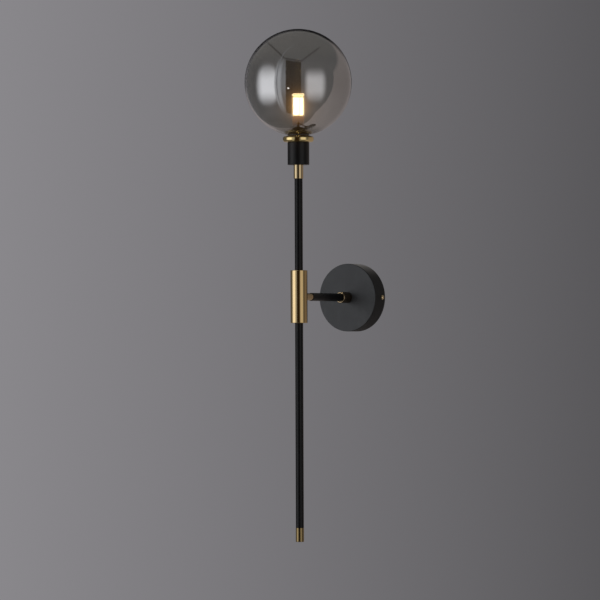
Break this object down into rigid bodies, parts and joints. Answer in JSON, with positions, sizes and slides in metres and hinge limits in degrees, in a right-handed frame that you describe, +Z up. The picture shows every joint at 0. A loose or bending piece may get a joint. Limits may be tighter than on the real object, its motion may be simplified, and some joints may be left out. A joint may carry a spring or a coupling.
{
  "type": "wall light",
  "caption": "Wall light: round canopy, short arm, tall slim rod, smoked glass globe shade screwed over a pin-base LED capsule.",
  "frame": {"origin": "centre of the canopy's back on the wall, which is also the centre of the two wall slots", "axes": "+Z up along the rod, -Y out of the wall along the arm, +Y into the wall"},
  "size_m": [0.15, 0.22, 0.7179],
  "materials": {
    "zinc_steel": "zinc plated, dull",
    "black_paint": "matte black powder coat",
    "black_paint_tube": "satin black powder coat",
    "brass_polished": "polished, lacquered",
    "brass_satin": "satin, fine lengthwise brushing",
    "brass_dark": "dark bronze tone, satin",
    "brass_plain": "plain machined",
    "nylon_white": "natural nylon",
    "shell_metal": "turned, satin",
    "ceramic_white": "unglazed steatite",
    "contact_bronze": "spring bronze",
    "gasket_rubber": "soft silicone",
    "smoked_glass": "smoked, partly mirrored, gloss",
    "bulb_ceramic": "glazed ceramic",
    "pin_metal": "nickel wire",
    "led_board": "white board",
    "led_phosphor": "phosphor, lit",
    "clear_cover": "clear, gloss",
    "wire_brown": "silicone insulation",
    "wire_blue": "silicone insulation",
    "wire_green": "green insulation"
  },
  "bodies": {
    "lamp": {"wall_bracket": "zinc_steel", "canopy_cover": "black_paint", "canopy_side_screws": "brass_polished", "earth_screw": "brass_plain", "earth_washer": "zinc_steel", "earth_lug": "zinc_steel", "terminal_block": "nylon_white", "terminal_inserts": "brass_plain", "terminal_screws": "zinc_steel", "terminal_block_screw": "zinc_steel", "canopy_nipple": "zinc_steel", "canopy_lock_washer": "zinc_steel", "canopy_lock_nut": "zinc_steel", "arm_collar": "brass_dark", "arm_tube": "black_paint_tube", "arm_stub": "brass_satin", "centre_sleeve": "brass_satin", "upper_rod": "black_paint_tube", "lower_rod": "black_paint_tube", "upper_rod_nipple": "zinc_steel", "lower_rod_stud": "zinc_steel", "bottom_finial": "brass_satin", "stem_ferrule": "brass_polished", "stem_nipple": "zinc_steel", "lampholder_cup": "black_paint", "cup_lock_washer": "zinc_steel", "cup_lock_nut": "zinc_steel", "lampholder_stirrup": "zinc_steel", "stirrup_screws": "zinc_steel", "lampholder_shell": "shell_metal", "lampholder_body": "ceramic_white", "lampholder_contacts": "contact_bronze", "gallery_ring": "brass_polished", "gallery_ring_nut": "brass_plain", "live_wire": "wire_brown", "neutral_wire": "wire_blue", "earth_wire": "wire_green"},
    "gasket": {"globe_gasket": "gasket_rubber"},
    "globe": {"glass_globe": "smoked_glass"},
    "bulb": {"bulb_base": "bulb_ceramic", "bulb_pins": "pin_metal", "led_core": "led_board", "led_strips": "led_phosphor", "bulb_cap": "led_board", "bulb_cover": "clear_cover"}
  },
  "joints": [
    {"name": "globe_rise", "type": "slide", "parent": "lamp", "child": "gasket", "axis": [0, 0, 1], "range_m": [0, 0.0101]},
    {"name": "globe_turn", "type": "hinge", "parent": "gasket", "child": "globe", "pos_m": [0, -0.145, 0.2266], "axis": [0, 0, 1], "range_deg": [0, 900]},
    {"name": "bulb_pull", "type": "slide", "parent": "lamp", "child": "bulb", "axis": [0, 0, 1], "range_m": [0, 0.014]}
  ],
  "couplings": [
    {"joint": "globe_rise", "follows": "globe_turn", "m_per_rad": 0.00063662}
  ]
}
